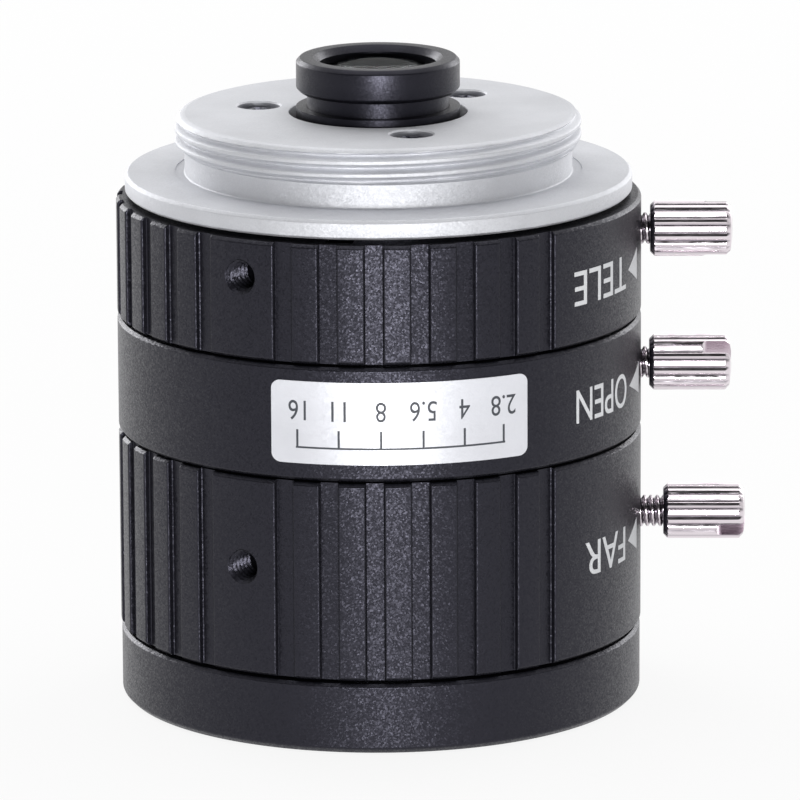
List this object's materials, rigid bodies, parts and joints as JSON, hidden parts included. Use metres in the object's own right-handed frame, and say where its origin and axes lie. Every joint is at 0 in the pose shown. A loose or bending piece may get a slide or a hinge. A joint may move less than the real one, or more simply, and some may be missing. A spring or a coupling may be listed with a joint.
{
  "type": "c-mount machine vision lens",
  "caption": "Manual varifocal camera lens with fluted zoom and focus rings, an iris ring, lock screws and a threaded camera mount.",
  "frame": {"origin": "centre of the front face of the bezel, on the optical axis", "axes": "+Z along the optical axis towards the camera; the lock screws point along +X"},
  "size_m": [0.0395, 0.033, 0.0406],
  "materials": {
    "black_anodised": "bead-blasted, black anodised",
    "black_inner": "matte black anodised",
    "satin_black": "satin black anodised",
    "silver_anodised": "sand-blasted, clear anodised",
    "nickel": "bright nickel plated",
    "tip_brass": "turned",
    "pin_steel": "ground",
    "blade_steel": "thin blackened spring steel",
    "coated_glass": "polished, coated",
    "label_foil": "satin foil"
  },
  "bodies": {
    "barrel": {"barrel": "black_inner", "c_mount": "silver_anodised", "mount_screws": "nickel", "front_bezel": "black_anodised", "iris_base": "black_inner", "iris_retaining_ring": "black_inner"},
    "zoom_ring": {"zoom_ring": "black_anodised"},
    "zoom_group": {"zoom_carrier": "black_inner", "zoom_guide_pins": "pin_steel", "rear_cell": "satin_black", "rear_lens": "coated_glass", "rear_spacer": "black_inner", "rear_crown_lens": "coated_glass", "rear_flint_lens": "coated_glass", "rear_retaining_ring": "black_inner", "zoom_lens": "coated_glass", "zoom_retaining_ring": "black_inner"},
    "iris_ring": {"iris_ring": "black_anodised", "iris_label": "label_foil", "iris_actuator": "black_inner", "iris_drive_pin": "pin_steel"},
    "focus_ring": {"focus_ring": "black_anodised"},
    "focus_group": {"front_cell": "black_inner", "focus_guide_pins": "pin_steel", "front_lens": "coated_glass", "front_retaining_ring": "black_inner", "middle_lens": "coated_glass", "inner_spacer": "black_inner", "inner_lens": "coated_glass", "inner_retaining_ring": "black_inner"},
    "iris_blade_1": {"iris_blade_1": "blade_steel"},
    "iris_blade_2": {"iris_blade_2": "blade_steel"},
    "iris_blade_3": {"iris_blade_3": "blade_steel"},
    "iris_blade_4": {"iris_blade_4": "blade_steel"},
    "iris_blade_5": {"iris_blade_5": "blade_steel"},
    "iris_blade_6": {"iris_blade_6": "blade_steel"},
    "zoom_lock_tip": {"zoom_lock_tip": "tip_brass"},
    "zoom_lock_screw": {"zoom_lock_screw": "nickel"},
    "iris_lock_tip": {"iris_lock_tip": "tip_brass"},
    "iris_lock_screw": {"iris_lock_screw": "nickel"},
    "focus_lock_tip": {"focus_lock_tip": "tip_brass"},
    "focus_lock_screw": {"focus_lock_screw": "nickel"}
  },
  "joints": [
    {"name": "zoom_turn", "type": "hinge", "parent": "barrel", "child": "zoom_ring", "pos_m": [0, 0, 0.02454], "axis": [0, 0, 1], "range_deg": [-38, 38]},
    {"name": "zoom_travel", "type": "slide", "parent": "barrel", "child": "zoom_group", "axis": [0, 0, 1], "range_m": [-0.002, 0.002]},
    {"name": "iris_turn", "type": "hinge", "parent": "barrel", "child": "iris_ring", "pos_m": [0, 0, 0.01725], "axis": [0, 0, 1], "range_deg": [-27, 27]},
    {"name": "focus_turn", "type": "hinge", "parent": "barrel", "child": "focus_ring", "pos_m": [0, 0, 0.00465], "axis": [0, 0, 1], "range_deg": [-38, 38]},
    {"name": "focus_travel", "type": "slide", "parent": "barrel", "child": "focus_group", "axis": [0, 0, 1], "range_m": [-0.0016, 0.0016]},
    {"name": "iris_blade_1_swing", "type": "hinge", "parent": "barrel", "child": "iris_blade_1", "pos_m": [0.0106, 0, 0.02224], "axis": [0, 0, 1], "range_deg": [-15, 15]},
    {"name": "iris_blade_2_swing", "type": "hinge", "parent": "barrel", "child": "iris_blade_2", "pos_m": [0.0053, 0.00918, 0.02212], "axis": [0, 0, 1], "range_deg": [-15, 15]},
    {"name": "iris_blade_3_swing", "type": "hinge", "parent": "barrel", "child": "iris_blade_3", "pos_m": [-0.0053, 0.00918, 0.022], "axis": [0, 0, 1], "range_deg": [-15, 15]},
    {"name": "iris_blade_4_swing", "type": "hinge", "parent": "barrel", "child": "iris_blade_4", "pos_m": [-0.0106, 0, 0.02188], "axis": [0, 0, 1], "range_deg": [-15, 15]},
    {"name": "iris_blade_5_swing", "type": "hinge", "parent": "barrel", "child": "iris_blade_5", "pos_m": [-0.0053, -0.00918, 0.02176], "axis": [0, 0, 1], "range_deg": [-15, 15]},
    {"name": "iris_blade_6_swing", "type": "hinge", "parent": "barrel", "child": "iris_blade_6", "pos_m": [0.0053, -0.00918, 0.02164], "axis": [0, 0, 1], "range_deg": [-15, 15]},
    {"name": "zoom_lock_travel", "type": "slide", "parent": "zoom_ring", "child": "zoom_lock_tip", "axis": [1, 0, 0], "range_m": [-0.0002, 0.001]},
    {"name": "zoom_lock_turn", "type": "hinge", "parent": "zoom_lock_tip", "child": "zoom_lock_screw", "pos_m": [0.01505, 0, 0.02964], "axis": [1, 0, 0], "range_deg": [-180, 900]},
    {"name": "iris_lock_travel", "type": "slide", "parent": "iris_ring", "child": "iris_lock_tip", "axis": [1, 0, 0], "range_m": [-0.00016, 0.00104]},
    {"name": "iris_lock_turn", "type": "hinge", "parent": "iris_lock_tip", "child": "iris_lock_screw", "pos_m": [0.01501, 0, 0.02104], "axis": [1, 0, 0], "range_deg": [-144, 936]},
    {"name": "focus_lock_travel", "type": "slide", "parent": "focus_ring", "child": "focus_lock_tip", "axis": [1, 0, 0], "range_m": [-0.00107, 0.00013]},
    {"name": "focus_lock_turn", "type": "hinge", "parent": "focus_lock_tip", "child": "focus_lock_screw", "pos_m": [0.01592, 0, 0.0114], "axis": [1, 0, 0], "range_deg": [-963, 117]}
  ],
  "couplings": [
    {"joint": "zoom_travel", "follows": "zoom_turn", "m_per_rad": 0.0030156},
    {"joint": "focus_travel", "follows": "focus_turn", "m_per_rad": -0.0024125},
    {"joint": "iris_blade_1_swing", "follows": "iris_turn", "ratio": 0.55556},
    {"joint": "iris_blade_2_swing", "follows": "iris_turn", "ratio": 0.55556},
    {"joint": "iris_blade_3_swing", "follows": "iris_turn", "ratio": 0.55556},
    {"joint": "iris_blade_4_swing", "follows": "iris_turn", "ratio": 0.55556},
    {"joint": "iris_blade_5_swing", "follows": "iris_turn", "ratio": 0.55556},
    {"joint": "iris_blade_6_swing", "follows": "iris_turn", "ratio": 0.55556},
    {"joint": "zoom_lock_travel", "follows": "zoom_lock_turn", "m_per_rad": 0.000063662},
    {"joint": "iris_lock_travel", "follows": "iris_lock_turn", "m_per_rad": 0.000063662},
    {"joint": "focus_lock_travel", "follows": "focus_lock_turn", "m_per_rad": 0.000063662}
  ]
}
